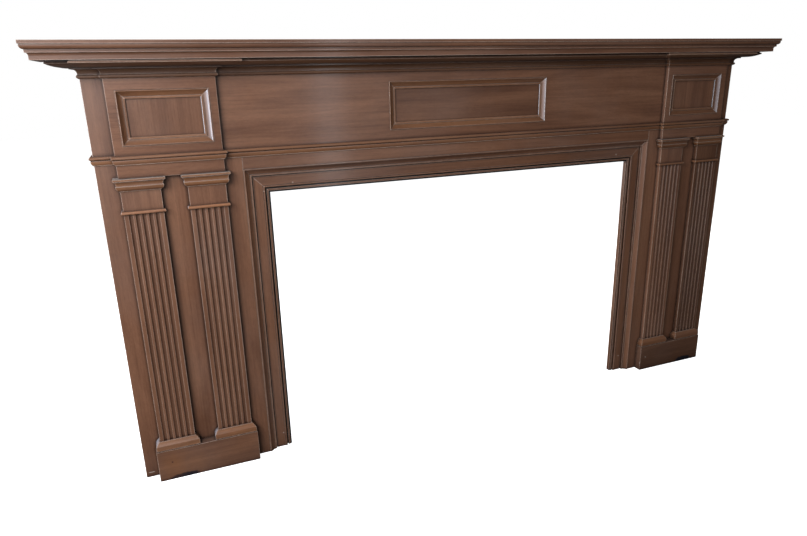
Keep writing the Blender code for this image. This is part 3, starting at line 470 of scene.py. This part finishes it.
def age(tree, base, specks, wear_and_highlight, ledge_pale_share):
    """Painted shade in hollows, grime and painted shade in creases, rubbed arrises with a painted
    highlight, a paler tone on upward ledges.
    """
    # Painted shade: broad darkening in hollows
    broad_shade = occlusion_mask(tree, (-1300, -1250), BROAD_SHADE_REACH)
    broad_shade = grey_ramp(tree, (-1000, -1250), broad_shade, BROAD_SHADE_TONE)
    base = mix_colour(tree, (-250, 240), "MULTIPLY", 1.0, base, broad_shade)
    open_face = occlusion_mask(tree, (-1300, -1400), CREASE_REACH)
    # Grime and painted shade darken the creases
    crease_shade_and_grime = grey_ramp(tree, (-1000, -1400), open_face, CREASE_SHADE_AND_GRIME_TONE)
    base = mix_colour(tree, (-200, 230), "MIX", crease_shade_and_grime, base, SHADE_AND_GRIME)
    # Rubbed arrises, lightened also as a painted highlight
    arris = arris_mask(tree, (-1300, -900), ARRIS_REACH)
    broken = grey_ramp(tree, (-1000, -600), specks, SPECK_TONE)
    worn_and_highlit = math_node(tree, (-600, -950), "MULTIPLY", arris, broken, clamp=True)
    not_crease = math_node(tree, (-600, -1200), "POWER", open_face, OPEN_FACE_POWER)
    worn_and_highlit = math_node(tree, (-450, -950), "MULTIPLY", worn_and_highlit, not_crease)
    worn_and_highlit = math_node(tree, (-300, -950), "MULTIPLY", worn_and_highlit, wear_and_highlight)
    base = mix_colour(tree, (-100, 200), "MIX", worn_and_highlit, base, WORN_AND_HIGHLIT_ARRIS)
    # Paler tone on faces that look upwards
    ledge = facing_mask(tree, (-1300, -1650), UPWARDS, LEDGE_FACING)
    ledge_pale = math_node(tree, (-100, -1150), "MULTIPLY", ledge, ledge_pale_share)
    return mix_colour(tree, (0, 180), "MIX", ledge_pale, base, LEDGE_PALE)


def own_traits(tree, base, coords, name):
    """What only some pieces have: painted reflection on pale facets, painted shadow in the quirk
    under the shelf, marks and painted shadow in the lining.
    """
    if name.startswith(PAINTED_REFLECTION_PIECES):
        # Painted reflection on faces that look to the left
        reflection = facing_mask(tree, (-1300, -1850), LEFTWARDS, REFLECTION_FACING)
        reflection = math_node(tree, (-100, -1350), "MULTIPLY", reflection, PAINTED_REFLECTION_SHARE)
        base = mix_colour(tree, (20, 170), "MIX", reflection, base, PAINTED_REFLECTION)
    if name.startswith("bed_mould"):
        # Painted shadow in the quirk under the shelf
        parts = node(tree, "ShaderNodeSeparateXYZ", (-1300, -1950))
        tree.links.new(coords, parts.inputs[0])
        quirk_shadow = math_node(tree, (-100, -1500), "GREATER_THAN", parts.outputs[2], QUIRK_SHADOW_Z)
        quirk_shadow = math_node(tree, (0, -1500), "MULTIPLY", quirk_shadow, QUIRK_SHADOW_SHARE)
        base = mix_colour(tree, (30, 165), "MIX", quirk_shadow, base, SHADE_AND_GRIME)
    for number, (piece_name, centre, half_size, colour, share, edge) in enumerate(MARKS):
        if piece_name == name:
            row = -2000 - 400 * number
            mark = mark_mask(tree, (-1900, row), coords, centre, half_size, edge)
            mark = math_node(tree, (-1000, row), "MULTIPLY", mark, share)
            base = mix_colour(tree, (50, 160), "MIX", mark, base, colour)
    if name in SHADOWED_LININGS:
        # Painted shadow in the lining's groove and along its edge
        lining_shadow = lining_shadow_mask(tree, (-1900, -1800), coords)
        base = mix_colour(tree, (100, 140), "MIX", lining_shadow, base, PAINTED_SHADOW_BLACK)
    return base


def polish(tree, shader, grain):
    """Worn wax polish, glossier in patches, over the fine relief of the grain."""
    gloss = grey_ramp(tree, (-500, -200), grain["patches"], GLOSS_TONE)
    tree.links.new(gloss, shader.inputs["Roughness"])
    shader.inputs["Specular IOR Level"].default_value = SPECULAR
    shader.inputs["Coat Weight"].default_value = COAT
    shader.inputs["Coat Roughness"].default_value = COAT_ROUGHNESS
    streaks = math_node(tree, (-700, -500), "MULTIPLY", grain["streaks"], STREAK_RELIEF)
    relief = math_node(tree, (-500, -500), "ADD", grain["pores"], streaks)
    bump = node(tree, "ShaderNodeBump", (-200, -500))
    bump.inputs["Strength"].default_value = BUMP_STRENGTH
    bump.inputs["Distance"].default_value = BUMP_DISTANCE
    tree.links.new(relief, bump.inputs["Height"])
    tree.links.new(bump.outputs[0], shader.inputs["Normal"])


def walnut(name, axis, seed, tones, tint, wear_and_highlight, ledge_pale_share):
    """Old polished walnut with its grain along one axis of the object."""
    material = bpy.data.materials.new("walnut_" + name)
    material.use_nodes = True
    tree = material.node_tree
    shader = tree.nodes["Principled BSDF"]
    coords = node(tree, "ShaderNodeTexCoord", (-1900, 0)).outputs["Object"]
    shift = node(tree, "ShaderNodeMapping", (-1700, 0))
    shift.inputs["Location"].default_value = [seed * step % SHIFT_CYCLE for step in SHIFT_STEPS]
    tree.links.new(coords, shift.inputs["Vector"])
    grain = grain_layers(tree, shift.outputs[0], axis)
    base = wood_colour(tree, grain, tones, tint)
    base = age(tree, base, grain["specks"], wear_and_highlight, ledge_pale_share)
    base = own_traits(tree, base, coords, name)
    tree.links.new(base, shader.inputs["Base Color"])
    polish(tree, shader, grain)
    return material


def smoothing_group():
    """Welds split corners and shades curved faces smooth, arrises sharp."""
    group = bpy.data.node_groups.new("weld_and_smooth", "GeometryNodeTree")
    group.interface.new_socket("Geometry", in_out="INPUT", socket_type="NodeSocketGeometry")
    group.interface.new_socket("Geometry", in_out="OUTPUT", socket_type="NodeSocketGeometry")
    start = group.nodes.new("NodeGroupInput")
    end = group.nodes.new("NodeGroupOutput")
    weld = group.nodes.new("GeometryNodeMergeByDistance")
    weld.inputs["Distance"].default_value = WELD_DISTANCE
    faces = group.nodes.new("GeometryNodeSetShadeSmooth")
    faces.domain = "FACE"
    faces.inputs["Shade Smooth"].default_value = True
    edges = group.nodes.new("GeometryNodeSetShadeSmooth")
    edges.domain = "EDGE"
    edges.inputs["Shade Smooth"].default_value = False
    angle = group.nodes.new("GeometryNodeInputMeshEdgeAngle")
    sharp = group.nodes.new("FunctionNodeCompare")
    sharp.data_type = "FLOAT"
    sharp.operation = "GREATER_THAN"
    sharp.inputs[1].default_value = SMOOTH_ANGLE
    links = group.links
    links.new(start.outputs[0], weld.inputs["Geometry"])
    links.new(weld.outputs["Geometry"], faces.inputs["Geometry"])
    links.new(faces.outputs["Geometry"], edges.inputs["Geometry"])
    links.new(angle.outputs["Unsigned Angle"], sharp.inputs[0])
    links.new(sharp.outputs["Result"], edges.inputs["Selection"])
    links.new(edges.outputs["Geometry"], end.inputs[0])
    return group


def grain_of(name):
    """Uprights have their grain along Z, everything else along X."""
    if name.startswith(UPRIGHT):
        return "z"
    if name.startswith(("block_frame", "centre_frame")) and name.endswith(("_left", "_right")):
        return "z"
    return "x"


def add_modifiers(piece, mitred, group):
    """Weld the corners, close the joints, round the arrises and smooth the shading."""
    weld = piece.modifiers.new("weld", "WELD")
    weld.merge_threshold = WELD_DISTANCE
    swell = piece.modifiers.new("close_joints", "DISPLACE")
    swell.strength = JOINT_SWELL
    swell.mid_level = 0.0
    bevel = piece.modifiers.new("rounding", "BEVEL")
    bevel.width = MITRE_ROUNDING if mitred else ROUNDING
    bevel.segments = ROUNDING_SEGMENTS
    bevel.limit_method = "ANGLE"
    bevel.angle_limit = ROUNDING_ANGLE
    bevel.harden_normals = False
    bevel.use_clamp_overlap = True
    smooth = piece.modifiers.new("smooth", "NODES")
    smooth.node_group = group
    flats = piece.modifiers.new("flats", "WEIGHTED_NORMAL")
    flats.keep_sharp = True


def dress_cad_nodes():
    """Give every node of the frame its own walnut and its modifiers."""
    group = smoothing_group()
    for number, name in enumerate(sorted(frame["nodes"])):
        piece = bpy.data.objects[name]
        spread = 1.0 + TINT_SPREAD * noise.noise(Vector((number * TINT_STEP, 0.3, 1.1)))
        # The tints include painted shade and a painted highlight
        tint = TINTS_AND_PAINTED_LIGHT.get(name, 1.0) * spread
        mitred = name.startswith(MITRED)
        tones = MOULD_TONES if name.startswith(MOULDED) else BOARD_TONES
        wear_and_highlight = MITRE_WEAR_AND_HIGHLIGHT if mitred else WEAR_AND_HIGHLIGHT
        ledge_pale_share = PALE_LEDGED_SHARE if name.startswith(PALE_LEDGED) else LEDGE_PALE_SHARE
        material = walnut(name, grain_of(name), number + 1, tones, tint, wear_and_highlight, ledge_pale_share)
        if piece.material_slots:
            for slot in piece.material_slots:
                slot.material = material
        else:
            piece.data.materials.append(material)
        add_modifiers(piece, mitred, group)


make_camera()
make_studio()
dress_cad_nodes()
